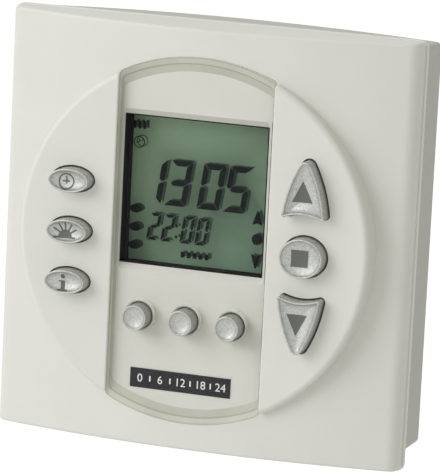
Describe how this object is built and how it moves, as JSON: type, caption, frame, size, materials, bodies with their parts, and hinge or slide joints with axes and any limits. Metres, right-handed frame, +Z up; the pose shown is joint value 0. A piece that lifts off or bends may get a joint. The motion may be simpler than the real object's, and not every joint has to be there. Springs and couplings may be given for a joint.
{
  "type": "programmable timer",
  "caption": "Square wall-mounted programmable timer with an LCD behind a clear strip in a round panel, silver keys either side and a shallow rear base.",
  "frame": {"origin": "on the wall plane, straight behind the centre of the round panel", "axes": "+X to the right seen from the front, +Y into the wall, +Z up"},
  "size_m": [0.085, 0.0242, 0.0844],
  "materials": {
    "cover_plastic": "off-white moulded, fine texture",
    "clear_plastic": "clear moulded plastic, polished",
    "base_plastic": "off-white moulded, matte",
    "black_plastic": "black moulded",
    "lcd_glass": "thin display glass",
    "lcd_reflector": "grey-green reflective film",
    "elastomer": "layered contact rubber",
    "circuit_board": "green solder mask",
    "screw_steel": "zinc plated",
    "chip_black": "moulded package",
    "can_metal": "drawn can",
    "relay_plastic": "moulded, dark",
    "capacitor_plastic": "moulded box",
    "cell_steel": "nickel plated",
    "contact_brass": "plated",
    "terminal_plastic": "grey moulded",
    "key_silver": "silver painted, fine grain",
    "plunger_plastic": "ivory moulded"
  },
  "bodies": {
    "housing": {"front_cover": "cover_plastic", "display_lens": "clear_plastic", "rear_base": "base_plastic", "lcd_bezel": "black_plastic", "lcd_glass": "lcd_glass", "lcd_reflector": "lcd_reflector", "contact_strips": "elastomer", "main_board": "circuit_board", "switch_bodies": "black_plastic", "board_screws": "screw_steel", "controller_chip": "chip_black", "clock_crystal": "can_metal", "relays": "relay_plastic", "dropper_capacitor": "capacitor_plastic", "smoothing_capacitor": "can_metal", "backup_cell": "cell_steel", "cell_clip": "cell_steel", "contact_pins": "contact_brass", "pin_header": "black_plastic", "terminal_block": "terminal_plastic", "terminal_screws": "screw_steel"},
    "clock_button": {"clock_key": "key_silver", "clock_plunger": "plunger_plastic"},
    "sun_button": {"sun_key": "key_silver", "sun_plunger": "plunger_plastic"},
    "info_button": {"info_key": "key_silver", "info_plunger": "plunger_plastic"},
    "soft_left_button": {"soft_key_left": "key_silver", "soft_left_plunger": "plunger_plastic"},
    "soft_middle_button": {"soft_key_middle": "key_silver", "soft_middle_plunger": "plunger_plastic"},
    "soft_right_button": {"soft_key_right": "key_silver", "soft_right_plunger": "plunger_plastic"},
    "up_button": {"up_key": "key_silver", "up_plunger": "plunger_plastic"},
    "stop_button": {"stop_key": "key_silver", "stop_plunger": "plunger_plastic"},
    "down_button": {"down_key": "key_silver", "down_plunger": "plunger_plastic"}
  },
  "joints": [
    {"name": "clock_press", "type": "slide", "parent": "housing", "child": "clock_button", "axis": [0, 1, 0], "range_m": [0, 0.0008], "stiffness_N_per_m": 500, "springref_m": -0.0008},
    {"name": "sun_press", "type": "slide", "parent": "housing", "child": "sun_button", "axis": [0, 1, 0], "range_m": [0, 0.0008], "stiffness_N_per_m": 500, "springref_m": -0.0008},
    {"name": "info_press", "type": "slide", "parent": "housing", "child": "info_button", "axis": [0, 1, 0], "range_m": [0, 0.0008], "stiffness_N_per_m": 500, "springref_m": -0.0008},
    {"name": "soft_left_press", "type": "slide", "parent": "housing", "child": "soft_left_button", "axis": [0, 1, 0], "range_m": [0, 0.0008], "stiffness_N_per_m": 500, "springref_m": -0.0008},
    {"name": "soft_middle_press", "type": "slide", "parent": "housing", "child": "soft_middle_button", "axis": [0, 1, 0], "range_m": [0, 0.0008], "stiffness_N_per_m": 500, "springref_m": -0.0008},
    {"name": "soft_right_press", "type": "slide", "parent": "housing", "child": "soft_right_button", "axis": [0, 1, 0], "range_m": [0, 0.0008], "stiffness_N_per_m": 500, "springref_m": -0.0008},
    {"name": "up_press", "type": "slide", "parent": "housing", "child": "up_button", "axis": [0, 1, 0], "range_m": [0, 0.0008], "stiffness_N_per_m": 500, "springref_m": -0.0008},
    {"name": "stop_press", "type": "slide", "parent": "housing", "child": "stop_button", "axis": [0, 1, 0], "range_m": [0, 0.0008], "stiffness_N_per_m": 500, "springref_m": -0.0008},
    {"name": "down_press", "type": "slide", "parent": "housing", "child": "down_button", "axis": [0, 1, 0], "range_m": [0, 0.0008], "stiffness_N_per_m": 500, "springref_m": -0.0008}
  ]
}
